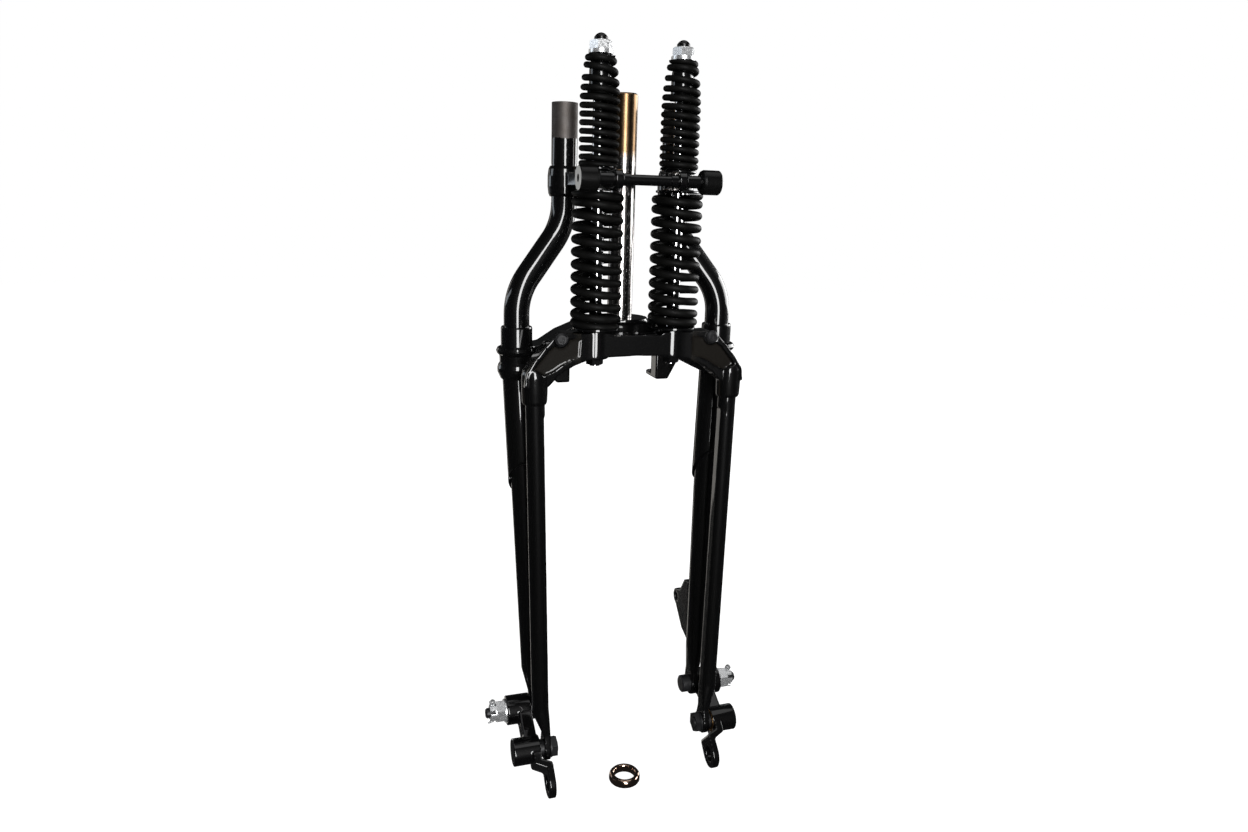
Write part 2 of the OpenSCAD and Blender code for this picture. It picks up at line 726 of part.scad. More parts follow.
module rod_end_caps() {
    dome = 6.2;
    color([0.03, 0.03, 0.03]) both_sides() translate([rod_x, rod_y, 0]) difference() {
        union() {
            translate([0, 0, cap_z - 0.05]) cylinder(h = 2.4, r = dome);
            intersection() {
                translate([0, 0, cap_top - 6.6]) sphere(r = 6.6);
                translate([0, 0, cap_z + 2.3]) cylinder(h = 10, r = dome);
            }
        }
        translate([0, 0, cap_z - 1]) cylinder(h = 4, r = 4.05);
    }
}

// ---- front rocker studs ----

module front_stud(right) {
    end_in = 77.5;
    shoulder_r = 9;
    on_side(right) color("dimgray") union() {
        x_cylinder(end_in, tip_out + bore_play, front_stud_y, front_stud_z, stud_r);
        x_cylinder(tip_out + bore_play, front_hub_in - gap, front_stud_y, front_stud_z, shoulder_r);
        x_cylinder(front_hub_in - gap, front_hub_out - 6, front_stud_y, front_stud_z, open_stud_r);
    }
}

module front_stud_washers() {
    color("dimgray") both_sides() difference() {
        x_cylinder(tip_in - 1.6, tip_in - bore_play, front_stud_y, front_stud_z, 10.8);
        x_cylinder(tip_in - 4, tip_in + 2, front_stud_y, front_stud_z, stud_r + bore_play);
    }
}

module front_stud_nuts() {
    color([0.12, 0.12, 0.12]) both_sides() difference() {
        x_hexagon(78.6, tip_in - 1.65, front_stud_y, front_stud_z, 19.2);
        x_cylinder(70, 90, front_stud_y, front_stud_z, stud_r + bore_play);
    }
}

// ---- springs ----

// Both sides' springs are wound left-handed, so they are the same spring and not mirror images.
module at_rod(right) {
    translate([right ? rod_x : -rod_x, rod_y, 0]) mirror([1, 0, 0]) children();
}

module cushion_spring(right) {
    r = (cushion_od - cushion_wire) / 2;
    at_rod(right) color([0.08, 0.08, 0.08])
        coil(cushion_turns, crown_top + 2.7, bridge_bottom - 0.2, cushion_wire, r, r, 1, right ? 200 : 20);
}

module recoil_spring(right) {
    r_low = (recoil_od - recoil_wire) / 2;
    r_high = (recoil_top_od - recoil_wire) / 2;
    at_rod(right) color([0.08, 0.08, 0.08])
        coil(recoil_turns, bridge_top + 0.2, recoil_top - 0.2, recoil_wire, r_low, r_high, 46,
             right ? 200 : 20);
}

// ---- rockers ----

module rocker(right) {
    rear = [rear_stud_y, rear_stud_z];
    front = [front_stud_y, front_stud_z];
    eye = [eye_y, eye_z];
    nose = norm(eye - front);
    nose_angle = atan2(eye[1] - front[1], eye[0] - front[0]);
    on_side(right) color("black") difference() {
        union() {
            x_cylinder(hub_in, hub_out, rear[0], rear[1], rear_hub_r);
            x_cylinder(front_hub_in, front_hub_out, front[0], front[1], front_hub_r);
            side_outline(hub_in, arm_out) side_link(rear, front, 11.5, 11);
            // The nose steps inwards on its way to the axle's eye.
            intersection() {
                side_outline(eye_in, arm_out) side_link(front, eye, 13, eye_r);
                translate([0, front[0], front[1]]) rotate([nose_angle, 0, 0])
                    translate([0, 0, -25]) linear_extrude(50) polygon([
                        [front_hub_in + 0.5, 0], [front_hub_in + 0.5, 13.2],
                        [eye_in + 0.6, 17.5], [eye_in, 19.5],
                        [eye_in, nose + 20], [eye_out, nose + 20], [eye_out, 24], [eye_out + 1, 22.5],
                        [front_hub_in + 8, 17.5], [front_hub_in + 9, 15.5], [front_hub_in + 9, 0]
                    ]);
            }
        }
        x_cylinder(hub_in - cut, hub_out + cut, rear[0], rear[1], rear_bush_r + 0.02);
        x_cylinder(front_hub_in - cut, front_hub_out - 4, front[0], front[1], front_bush_r + 0.02);
        x_cylinder(eye_in - cut, eye_out + cut, eye[0], eye[1], axle_bore / 2);
    }
}

module rear_bushing(right) {
    on_side(right) color("peru") difference() {
        x_cylinder(hub_in, hub_out, rear_stud_y, rear_stud_z, rear_bush_r);
        x_cylinder(hub_in - cut, hub_out + cut, rear_stud_y, rear_stud_z, stud_r + bore_play);
    }
}

module front_bushing(right) {
    on_side(right) color("peru") difference() {
        x_cylinder(front_hub_in, front_hub_out - 4.1, front_stud_y, front_stud_z, front_bush_r);
        x_cylinder(front_hub_in - cut, front_hub_out, front_stud_y, front_stud_z, open_bore_r);
    }
}

steering_stem();
rear_crown();
rear_tube(false);  // rear_tube_left
rear_tube(true);  // rear_tube_right
tube_collar(false);  // tube_collar_left
tube_collar(true);  // tube_collar_right
rear_leg(false);  // rear_leg_left
rear_leg(true);  // rear_leg_right
leg_sleeve(false);  // leg_sleeve_left
leg_sleeve(true);  // leg_sleeve_right
brake_anchor();
tube_lug(false);  // tube_lug_left
tube_lug(true);  // tube_lug_right
rod_bracket(false);  // rod_bracket_left
rod_bracket(true);  // rod_bracket_right
bridge_bushings();
bridge_cross_bar();
bridge_end_knobs();
rear_stud(false);  // rear_stud_left
rear_stud(true);  // rear_stud_right
rear_stud_washers();
castle_nuts();
cotter_pins();
front_crown();
crown_bolts();
front_leg(false);  // front_leg_left
front_leg(true);  // front_leg_right
cushion_spring_seats();
spring_rod(false);  // spring_rod_left
spring_rod(true);  // spring_rod_right
rod_lower_nuts();
rod_top_washers();
recoil_spring_retainers();
rod_top_nuts();
rod_end_caps();
front_stud(false);  // front_stud_left
front_stud(true);  // front_stud_right
front_stud_washers();
front_stud_nuts();
cushion_spring(false);  // cushion_spring_left
cushion_spring(true);  // cushion_spring_right
recoil_spring(false);  // recoil_spring_left
recoil_spring(true);  // recoil_spring_right
rocker(false);  // rocker_left
rocker(true);  // rocker_right
rear_bushing(false);  // rear_bushing_left
rear_bushing(true);  // rear_bushing_right
front_bushing(false);  // front_bushing_left
front_bushing(true);  // front_bushing_right
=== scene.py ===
"""The looks of a springer fork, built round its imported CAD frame.

Sizes are in metres, in the frame's own axes: +Z up the steering stem, and the front faces -Y.
Forged pieces are made from their CAD node by remeshing, which rounds their edges and corners.
The springs are new meshes. Every other piece stays the CAD node and only gets its material. The
studio, and a loose ring on its floor, are staged.
"""

import json
import math

import bmesh
import bpy
from mathutils import Matrix, Vector

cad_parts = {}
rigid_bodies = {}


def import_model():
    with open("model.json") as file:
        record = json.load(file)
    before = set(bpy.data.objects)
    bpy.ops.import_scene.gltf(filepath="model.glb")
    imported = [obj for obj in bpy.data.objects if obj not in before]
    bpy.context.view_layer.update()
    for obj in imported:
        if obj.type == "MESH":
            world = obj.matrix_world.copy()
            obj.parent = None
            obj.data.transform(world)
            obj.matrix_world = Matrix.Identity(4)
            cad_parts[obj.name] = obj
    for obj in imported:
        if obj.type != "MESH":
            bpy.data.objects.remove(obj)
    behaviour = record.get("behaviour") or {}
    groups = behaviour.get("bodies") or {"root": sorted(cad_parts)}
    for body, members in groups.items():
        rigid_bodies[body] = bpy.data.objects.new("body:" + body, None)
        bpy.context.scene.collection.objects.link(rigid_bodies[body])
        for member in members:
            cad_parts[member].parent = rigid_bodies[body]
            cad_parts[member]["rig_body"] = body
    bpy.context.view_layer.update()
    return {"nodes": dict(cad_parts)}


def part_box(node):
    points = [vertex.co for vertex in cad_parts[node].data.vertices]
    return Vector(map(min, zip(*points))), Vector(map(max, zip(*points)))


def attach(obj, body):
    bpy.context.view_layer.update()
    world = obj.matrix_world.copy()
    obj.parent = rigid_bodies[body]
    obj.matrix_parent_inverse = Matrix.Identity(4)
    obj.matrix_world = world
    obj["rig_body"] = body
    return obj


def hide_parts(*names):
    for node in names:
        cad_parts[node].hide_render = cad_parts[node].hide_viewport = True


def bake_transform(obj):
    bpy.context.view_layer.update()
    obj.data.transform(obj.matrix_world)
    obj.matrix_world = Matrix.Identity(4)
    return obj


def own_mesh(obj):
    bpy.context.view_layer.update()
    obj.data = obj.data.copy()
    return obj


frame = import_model()
nodes = frame["nodes"]
MM = 0.001
SIDES = ("left", "right")

# ---- the camera ----

CAMERA_PLACE = Vector((-0.2676, -0.8360, 0.1108))
CAMERA_HEADING = math.radians(18.27)  # turned to the right of straight back
CAMERA_TILT = math.radians(13.87)     # looking down
CAMERA_ROLL = math.radians(1.68)
LENS = 24.52
SENSOR_WIDTH = 36


def make_camera():
    """The camera at the photograph's place and angle."""
    forward = Vector((
        math.sin(CAMERA_HEADING) * math.cos(CAMERA_TILT),
        math.cos(CAMERA_HEADING) * math.cos(CAMERA_TILT),
        -math.sin(CAMERA_TILT),
    ))
    right = Vector((math.cos(CAMERA_HEADING), -math.sin(CAMERA_HEADING), 0))
    up = right.cross(forward)
    rolled_right = right * math.cos(CAMERA_ROLL) + up * math.sin(CAMERA_ROLL)
    rolled_up = up * math.cos(CAMERA_ROLL) - right * math.sin(CAMERA_ROLL)
    data = bpy.data.cameras.new("camera")
    data.lens = LENS
    data.sensor_width = SENSOR_WIDTH
    camera = bpy.data.objects.new("camera", data)
    camera.matrix_world = Matrix((
        (rolled_right.x, rolled_up.x, -forward.x, CAMERA_PLACE.x),
        (rolled_right.y, rolled_up.y, -forward.y, CAMERA_PLACE.y),
        (rolled_right.z, rolled_up.z, -forward.z, CAMERA_PLACE.z),
        (0, 0, 0, 1),
    ))
    bpy.context.scene.collection.objects.link(camera)
    bpy.context.scene.camera = camera


# ---- materials ----

# A Mix node has a set of sockets for each kind of data: here, its two inputs and its output.
MIX_SOCKETS = {"RGBA": (6, 7, 2), "FLOAT": (2, 3, 0)}


class Shader:
    """A material with one Principled shader, and short calls for the nodes that feed it."""

    def __init__(self, name, color, roughness, metallic=0.0, **constants):
        self.material = bpy.data.materials.new(name)
        self.material.use_nodes = True
        self.tree = self.material.node_tree
        self.surface = self.tree.nodes["Principled BSDF"]
        self.surface.inputs["Base Color"].default_value = (*color, 1)
        self.surface.inputs["Roughness"].default_value = roughness
        self.surface.inputs["Metallic"].default_value = metallic
        for socket, value in constants.items():
            self.surface.inputs[socket.replace("_", " ")].default_value = value
        self.place = self.node("ShaderNodeTexCoord").outputs["Object"]

    def node(self, kind, **settings):
        """A new node with its settings."""
        made = self.tree.nodes.new(kind)
        for key, value in settings.items():
            setattr(made, key, value)
        return made

    def link(self, source, target):
        """Joins an output to an input."""
        self.tree.links.new(source, target)

    def into(self, socket, value):
        """Joins an output to one of the shader's own inputs."""
        self.link(value, self.surface.inputs[socket])

    def stretched(self, scale):
        """The object's coordinates, stretched: streaks run along the axis with the small scale."""
        mapping = self.node("ShaderNodeMapping")
        mapping.inputs["Scale"].default_value = scale
        self.link(self.place, mapping.inputs["Vector"])
        return mapping.outputs["Vector"]

    def noise(self, scale, detail=3.0, where=None, roughness=0.55):
        """Noise on the object's coordinates, or on other ones."""
        made = self.node("ShaderNodeTexNoise")
        made.inputs["Scale"].default_value = scale
        made.inputs["Detail"].default_value = detail
        made.inputs["Roughness"].default_value = roughness
        self.link(where or self.place, made.inputs["Vector"])
        return made.outputs["Fac"]

    def span(self, value, low, high, to_low, to_high):
        """A value from low to high mapped to another span, and held at its ends."""
        made = self.node("ShaderNodeMapRange")
        numbers = {"From Min": low, "From Max": high, "To Min": to_low, "To Max": to_high}
        for socket, number in numbers.items():
            made.inputs[socket].default_value = number
        self.link(value, made.inputs["Value"])
        return made.outputs["Result"]

    def ramp(self, value, *stops):
        """A colour from a value, between two stops of (position, colour)."""
        made = self.node("ShaderNodeValToRGB")
        for element, (position, color) in zip(made.color_ramp.elements, stops):
            element.position = position
            element.color = (*color, 1)
        self.link(value, made.inputs["Fac"])
        return made.outputs["Color"]

    def mix(self, kind, share, first, second):
        """Two constants or outputs mixed by a share."""
        first_socket, second_socket, result = MIX_SOCKETS[kind]
        made = self.node("ShaderNodeMix", data_type=kind)
        self.link(share, made.inputs["Factor"])
        for number, value in ((first_socket, first), (second_socket, second)):
            socket = made.inputs[number]
            if isinstance(value, tuple):
                socket.default_value = (*value, 1)
            elif isinstance(value, float):
                socket.default_value = value
            else:
                self.link(value, socket)
        return made.outputs[result]

    def mix_color(self, share, first, second):
        """Two colours mixed by a share."""
        return self.mix("RGBA", share, first, second)

    def mix_value(self, share, first, second):
        """Two values mixed by a share."""
        return self.mix("FLOAT", share, first, second)

    def along(self, axis):
        """A point's coordinate on an axis."""
        parts = self.node("ShaderNodeSeparateXYZ")
        self.link(self.place, parts.inputs["Vector"])
        return parts.outputs[axis]

    def calculate(self, operation, first, second=None):
        """The result of a sum on one value, or on a value and a second value or number."""
        made = self.node("ShaderNodeMath", operation=operation)
        self.link(first, made.inputs[0])
        if isinstance(second, float):
            made.inputs[1].default_value = second
        elif second is not None:
            self.link(second, made.inputs[1])
        return made.outputs[0]

    def bumps(self, *layers, edge=0.0):
        """Bump layers of (height, strength, distance), over edges rounded to a radius."""
        normal = None
        if edge:
            bevel = self.node("ShaderNodeBevel", samples=4)
            bevel.inputs["Radius"].default_value = edge
            normal = bevel.outputs["Normal"]
        for height, strength, distance in layers:
            bump = self.node("ShaderNodeBump")
            bump.inputs["Strength"].default_value = strength
            bump.inputs["Distance"].default_value = distance
            self.link(height, bump.inputs["Height"])
            if normal:
                self.link(normal, bump.inputs["Normal"])
            normal = bump.outputs["Normal"]
        self.into("Normal", normal)


PAINT = (0.0009, 0.0009, 0.001)
PAINT_ROUGHNESS = 0.4  # of the colour coat, under the gloss
GLOSS = {"Specular_IOR_Level": 0.06, "Coat_Roughness": 0.04, "Coat_IOR": 1.5}
PANEL_DUST = (0.005, 0.0042, 0.0032)
PANEL_EDGE = 2 * MM       # over which a panel's satin fades in
PANEL_FROM = 56 * MM      # where the crown's sunk panels start, beside its middle
PANEL_SETBACK = 12 * MM   # their floor, in front of the rods
CASTING_BUMP = 0.12
BARE_LENGTH = 33 * MM     # bare steel at the top of each handlebar tube
STAIN_FROM = 0.156        # height on the stem where its gold brown stain starts
STAIN_DARK = (0.11, 0.068, 0.034)
STAIN_LIGHT = (0.17, 0.108, 0.058)
PLASTIC = (0.002, 0.002, 0.002)
KNOB_METAL = (0.42, 0.42, 0.41)
KNOB_RING_DEPTH = 0.15 * MM


def gloss_paint(name, edge=0.0, casting=0.0, panel=None):
    """Gloss black enamel: faint orange peel, and on a casting the skin under it shows through.

    A sunk panel is satin, with brown dust: it's given as where it starts beside the middle, and
    its floor's setback.
    """
    made = Shader(name, PAINT, PAINT_ROUGHNESS, Coat_Weight=1.0, **GLOSS)
    if panel:
        start, floor = panel
        beside = made.span(made.calculate("ABSOLUTE", made.along("X")), start, start + PANEL_EDGE, 0.0, 1.0)
        depth = made.calculate("ABSOLUTE", made.calculate("SUBTRACT", made.along("Y"), floor))
        sunk = made.calculate("MULTIPLY", beside, made.span(depth, 0.0007, 0.0012, 1.0, 0.0))
        made.into("Base Color", made.mix_color(sunk, PAINT, PANEL_DUST))
        made.into("Roughness", made.mix_value(sunk, PAINT_ROUGHNESS, 0.5))
        made.into("Coat Weight", made.mix_value(sunk, 1.0, 0.5))
    layers = [(made.noise(420, 2), 0.10, 0.0001)]
    if casting:
        layers.append((made.noise(900, 5, roughness=0.7), casting, 0.00025))
        layers.append((made.noise(130, 3), casting, 0.0005))
    made.bumps(*layers, edge=edge)
    return made.material


def tube_paint(name, bare_from):
    """Gloss black enamel up to a masked edge, and bare dark steel above it."""
    made = Shader(name, PAINT, PAINT_ROUGHNESS, **GLOSS)
    wobble = made.span(made.noise(160, 3), 0.3, 0.7, -0.0006, 0.0006)
    height = made.calculate("ADD", made.along("Z"), wobble)
    bare = made.span(height, bare_from - 0.0003, bare_from + 0.0003, 0.0, 1.0)
    rings = made.noise(900, 4, made.stretched((0.12, 0.12, 2.6)), 0.7)
    stains = made.noise(90, 5)
    steel = made.mix_color(
        made.span(stains, 0.35, 0.7, 0.0, 0.6),
        made.ramp(rings, (0.3, (0.08, 0.073, 0.07)), (0.7, (0.145, 0.134, 0.128))),
        (0.065, 0.055, 0.047),
    )
    made.into("Base Color", made.mix_color(bare, PAINT, steel))
    made.into("Metallic", bare)
    made.into("Roughness", made.mix_value(bare, PAINT_ROUGHNESS, made.span(rings, 0.3, 0.7, 0.52, 0.72)))
    made.into("Coat Weight", made.mix_value(bare, 1.0, 0.0))
    made.bumps((rings, 0.25, 0.0002), (bare, 0.6, -0.0001), edge=0.0004)
    return made.material


def spring_coating():
    """Dull black coating with a fine grain and a little grey dust."""
    made = Shader("spring_black", (0.002, 0.002, 0.0019), 0.5, Specular_IOR_Level=0.07)
    dust = made.noise(75, 5)
    shade = made.ramp(dust, (0.3, (0.0013, 0.0013, 0.0012)), (0.75, (0.0032, 0.0031, 0.0029)))
    made.into("Base Color", shade)
    made.into("Roughness", made.span(made.noise(500, 3), 0.3, 0.7, 0.42, 0.6))
    made.bumps((made.noise(2600, 3, roughness=0.7), 0.3, 0.0001), (made.noise(350, 3), 0.18, 0.0002))
    return made.material


def polished(name, color, roughness, stain_from=None):
    """Polished steel with fine lines along it, stained gold brown above a height if one is given."""
    made = Shader(name, color, roughness, metallic=1.0)
    lines = made.noise(700, 3, made.stretched((1.0, 1.0, 0.03)), 0.6)
    shine = made.span(lines, 0.3, 0.7, roughness * 0.85, roughness * 1.3)
    cloud = made.noise(40, 4)
    clouded = tuple(c * 0.72 for c in color)
    shade = made.mix_color(made.span(cloud, 0.35, 0.75, 0.0, 0.35), color, clouded)
    if stain_from is not None:
        wobble = made.span(made.noise(60, 3), 0.3, 0.7, -0.003, 0.003)
        height = made.calculate("ADD", made.along("Z"), wobble)
        stained = made.span(height, stain_from - 0.004, stain_from + 0.006, 0.0, 1.0)
        shade = made.mix_color(stained, shade, made.ramp(cloud, (0.3, STAIN_DARK), (0.7, STAIN_LIGHT)))
        shine = made.calculate("ADD", shine, made.span(stained, 0.0, 1.0, 0.0, 0.1))
    made.into("Base Color", shade)
    made.into("Roughness", shine)
    made.bumps((lines, 0.02, 0.0001))
    return made.material


def plating(name, color, roughness):
    """Bright zinc plating, slightly clouded."""
    made = Shader(name, color, roughness, metallic=0.88)
    cloud = made.noise(220, 4)
    made.into("Base Color", made.ramp(cloud, (0.3, tuple(c * 0.8 for c in color)), (0.7, color)))
    made.into("Roughness", made.span(made.noise(600, 3), 0.3, 0.7, roughness * 0.8, roughness * 1.7))
    made.bumps((made.noise(300, 2), 0.02, 0.0001))
    return made.material


def blackened():
    """Black oxide on steel, oily and uneven."""
    made = Shader("black_oxide", (0.012, 0.012, 0.013), 0.34, metallic=0.4)
    made.into("Roughness", made.span(made.noise(260, 4), 0.3, 0.7, 0.26, 0.48))
    made.bumps((made.noise(1500, 3), 0.15, 0.0001), edge=0.0003)
    return made.material


def bronze():
    """Turned bronze."""
    made = Shader("bronze", (0.45, 0.26, 0.1), 0.3, metallic=1.0)
    rings = made.noise(1200, 3, made.stretched((2.0, 0.05, 0.05)))
    made.into("Roughness", made.span(rings, 0.3, 0.7, 0.2, 0.42))
    made.bumps((rings, 0.15, 0.0001), edge=0.0002)
    return made.material


def moulded_plastic():
    """Black moulded plastic with a soft sheen."""
    made = Shader("moulded_plastic", PLASTIC, 0.26, Specular_IOR_Level=0.25)
    made.into("Roughness", made.span(made.noise(300, 3), 0.3, 0.7, 0.2, 0.34))
    made.bumps((made.noise(1800, 2), 0.1, 0.0001), edge=0.0003)
    return made.material


def knob_plastic(face):
    """The knobs' plastic, with a bare metal ring let into each outer face, beyond a distance."""
    made = Shader("knob_plastic", PLASTIC, 0.26, Specular_IOR_Level=0.2)
    away = made.calculate("ABSOLUTE", made.along("X"))
    bare = made.span(away, face - 0.0001, face + 0.0001, 0.0, 1.0)
    made.into("Base Color", made.mix_color(bare, PLASTIC, KNOB_METAL))
    made.into("Roughness", made.mix_value(bare, 0.26, 0.4))
    made.bumps((made.noise(1800, 2), 0.1, 0.0001), edge=0.0003)
    return made.material


# ---- mesh helpers ----

WELD_DISTANCE = 1e-5
SMOOTHING = 0.5  # of each pass


def placed(name, data):
    """A new object in the scene."""
    made = bpy.data.objects.new(name, data)
    bpy.context.scene.collection.objects.link(made)
    return made


def new_piece(name, mesh, body, material, node):
    """Puts a mesh on a body, if it has one, with its material, and hides the CAD node it stands for."""
    piece = placed(name, mesh)
    mesh.materials.clear()
    mesh.materials.append(material)
    mesh.polygons.foreach_set("use_smooth", [True] * len(mesh.polygons))
    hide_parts(node)
    if body:
        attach(piece, body)
    return piece


def softened(node, voxel, passes, material):
    """A CAD node's shape with its edges and inner corners rounded, as a forging's are."""
    draft = placed("draft", nodes[node].data.copy())
    weld = draft.modifiers.new("weld", "WELD")
    weld.merge_threshold = WELD_DISTANCE
    remesh = draft.modifiers.new("remesh", "REMESH")
    remesh.mode = "VOXEL"
    remesh.voxel_size = voxel
    smooth = draft.modifiers.new("smooth", "SMOOTH")
    smooth.factor = SMOOTHING
    smooth.iterations = passes
    graph = bpy.context.evaluated_depsgraph_get()
    result = bpy.data.meshes.new_from_object(draft.evaluated_get(graph))
    bpy.data.objects.remove(draft)
    new_piece(node + "_forged", result, nodes[node]["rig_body"], material, node)


# ---- springs ----

WIRE_SIDES = 18
RINGS_PER_TURN = 44
CLOSED_TURNS = 0.95  # at each end, where the coils lie on each other
CLOSED_PITCH = 1.04  # of those coils, in wire diameters
GROUND_TURNS = 0.45  # wire beyond the end planes, which grinding leaves as a thin wedge
WIDENING_FADE = 0.7  # turns below the top over which a widening pitch fades out

# Where each side's coils start, round the rod from +X.
COIL_START = {"left": math.radians(160), "right": math.radians(-20)}
CUSHION_WIRE = 7.7 * MM
CUSHION_TURNS = 10.7
RECOIL_WIRE = 5.5 * MM
RECOIL_TURNS = 12
RECOIL_WIDENING = 0.9        # the pitch at the top is wider than the pitch below by this share of it
RECOIL_TOP_RADIUS = 11 * MM  # to the wire's middle
RECOIL_DRAWN_IN = 46 * MM    # the length below the top that narrows
INNER_WIRE = 3.6 * MM
INNER_TURNS = 9.5
INNER_RADIUS = 10 * MM
INNER_PLAY = 0.4 * MM        # between the inner coil and the retainer above it


def risen(turn, turns, widening):
    """How far up its open part a coil has climbed, from 0 to 1: steeper towards the top."""
    open_turns = turns - 2 * CLOSED_TURNS

    def climb(u):
        steep = math.exp((u - open_turns) / WIDENING_FADE) - math.exp(-open_turns / WIDENING_FADE)
        return u + widening * WIDENING_FADE * steep

    u = min(max(turn - CLOSED_TURNS, 0), open_turns)
    return climb(u) / climb(open_turns)


def coil_points(centre, bottom, top, wire, turns, radius_at, start, widening=0.0):
    """Rings of points round a left-handed wire, clamped to the ground end planes."""
    closed_pitch = wire * CLOSED_PITCH
    low = bottom + wire / 2
    high = top - wire / 2
    open_height = high - low - 2 * CLOSED_TURNS * closed_pitch
    whole = turns + 2 * GROUND_TURNS
    rings = round(whole * RINGS_PER_TURN)
    points = []
    for i in range(rings + 1):
        turn = whole * i / rings - GROUND_TURNS
        below = min(turn, CLOSED_TURNS) * closed_pitch
        above = max(turn - turns + CLOSED_TURNS, 0) * closed_pitch
        z = low + below + risen(turn, turns, widening) * open_height + above
        angle = start - 2 * math.pi * turn
        out = Vector((math.cos(angle), math.sin(angle), 0))
        middle = centre + out * radius_at(min(max(z, bottom), top)) + Vector((0, 0, z))
        for k in range(WIRE_SIDES):
            around = 2 * math.pi * k / WIRE_SIDES
            rise = Vector((0, 0, wire / 2 * math.sin(around)))
            point = middle + out * (wire / 2 * math.cos(around)) + rise
            point.z = min(max(point.z, bottom), top)
            points.append(point)
    return points


def coil_mesh(name, *coils):
    """One mesh of closed wires, each given as its rings of points."""
    points = []
    faces = []
    for coil in coils:
        first = len(points)
        points += coil
        rings = len(coil) // WIRE_SIDES - 1
        for i in range(rings):
            for k in range(WIRE_SIDES):
                here = first + i * WIRE_SIDES
                after = (k + 1) % WIRE_SIDES
                faces.append((here + k, here + after, here + WIRE_SIDES + after, here + WIRE_SIDES + k))
        faces.append(tuple(range(first, first + WIRE_SIDES))[::-1])
        faces.append(tuple(range(len(points) - WIRE_SIDES, len(points))))
    mesh = bpy.data.meshes.new(name)
    mesh.from_pydata(points, [], faces)
    shape = bmesh.new()
    shape.from_mesh(mesh)
    bmesh.ops.recalc_face_normals(shape, faces=shape.faces)
    shape.to_mesh(mesh)
    shape.free()
    return mesh


def rod_centre(side):
    """The axis of a spring rod, at height 0."""
    low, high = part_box("spring_rod_" + side)
    return Vector(((low.x + high.x) / 2, (low.y + high.y) / 2, 0))


def cushion_spring(side, material):
    """A spring below the bridge, which the front fork squeezes as it comes up."""
    low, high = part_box("cushion_spring_" + side)
    radius = (high.x - low.x - CUSHION_WIRE) / 2
    coil = coil_points(rod_centre(side), low.z, high.z, CUSHION_WIRE, CUSHION_TURNS,
                       lambda z: radius, COIL_START[side])
    name = "cushion_coil_" + side
    piece = new_piece(name, coil_mesh(name, coil), "rear_fork", material, "cushion_spring_" + side)
    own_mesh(piece)


def recoil_spring(side, material):
    """A spring above the bridge, drawn in towards its top, with a thinner coil inside it."""
    low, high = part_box("recoil_spring_" + side)
    wide = (high.x - low.x - RECOIL_WIRE) / 2

    def radius_at(z):
        t = min(1, max(0, (high.z - z) / RECOIL_DRAWN_IN))
        return RECOIL_TOP_RADIUS + (wide - RECOIL_TOP_RADIUS) * t * (2 - t)

    outer = coil_points(rod_centre(side), low.z, high.z, RECOIL_WIRE, RECOIL_TURNS,
                        radius_at, COIL_START[side], RECOIL_WIDENING)
    inner_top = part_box("recoil_spring_retainers")[0].z - INNER_PLAY
    inner = coil_points(rod_centre(side), low.z, inner_top, INNER_WIRE, INNER_TURNS,
                        lambda z: INNER_RADIUS, COIL_START[side] + math.pi)
    name = "recoil_coil_" + side
    piece = new_piece(name, coil_mesh(name, outer, inner), None, material, "recoil_spring_" + side)
    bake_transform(piece)


# ---- studio ----

WHITE = (1, 1, 1)
FLOOR_GAP = 0.5 * MM  # between the rockers and the floor
FLOOR_RADIUS = 6
FLOOR_GLOW = (0.9, 1.0)      # under the fork, and where it runs into the backdrop
GLOW_DISTANCES = (0.3, 1.4)  # from the middle of the floor, for the two
BACKDROP_RADIUS = 7
RING_PLACE = Vector((-8, -87, 0)) * MM
RING_SEGMENTS = 96
# The ring's section, as radius and height in millimetres.
RING_PROFILE = [(11.3, 0), (11, 1), (11, 6.5), (11.6, 7.7), (13, 8.2), (14.8, 7.7), (16, 6.2),
                (16.5, 4), (16.5, 1), (16, 0)]
# Each strip light's turn from the camera's side in degrees, distance, height, width, length,
# power and tint.
STRIPS = {
    "key_strip": (10, 2.2, 0.675, 0.62, 2.25, 80, WHITE),
    "rim_right": (118, 2.4, 0.4, 1.1, 2.4, 60, WHITE),
    "rim_left": (-100, 2.6, 0.5, 0.35, 2.2, 6, (0.85, 0.92, 1.0)),
    "back_left": (-139, 2.5, -0.5, 0.5, 3.4, 4.5, (1.0, 0.96, 0.9)),
}
# The soft light overhead, and the world.
OVERHEAD_PLACE = (0.2, -0.3, 2.6)
OVERHEAD_SIZE = 2.4
OVERHEAD_POWER = 16
WORLD_COLOR = (0.95, 0.97, 1)
WORLD_STRENGTH = 0.022


def lost_ring(floor_z):
    """A polished bearing ring that lies loose on the floor in front of the fork."""
    points = []
    for i in range(RING_SEGMENTS):
        turn = 2 * math.pi * i / RING_SEGMENTS
        for r, z in RING_PROFILE:
            points.append((r * math.cos(turn) * MM, r * math.sin(turn) * MM, z * MM))
    count = len(RING_PROFILE)
    faces = []
    for i in range(RING_SEGMENTS):
        here = i * count
        there = (i + 1) % RING_SEGMENTS * count
        for k in range(count):
            after = (k + 1) % count
            faces.append((here + k, there + k, there + after, here + after))
    mesh = bpy.data.meshes.new("lost_ring")
    mesh.from_pydata(points, [], faces)
    mesh.polygons.foreach_set("use_smooth", [True] * len(mesh.polygons))
    mesh.materials.append(polished("ring_steel", (0.5, 0.36, 0.28), 0.1))
    ring = placed("lost_ring", mesh)
    ring.location = RING_PLACE + Vector((0, 0, floor_z))


def glowing(name, color, roughness):
    """A shader that also gives off white light."""
    made = Shader(name, color, roughness)
    made.surface.inputs["Emission Color"].default_value = (*WHITE, 1)
    return made


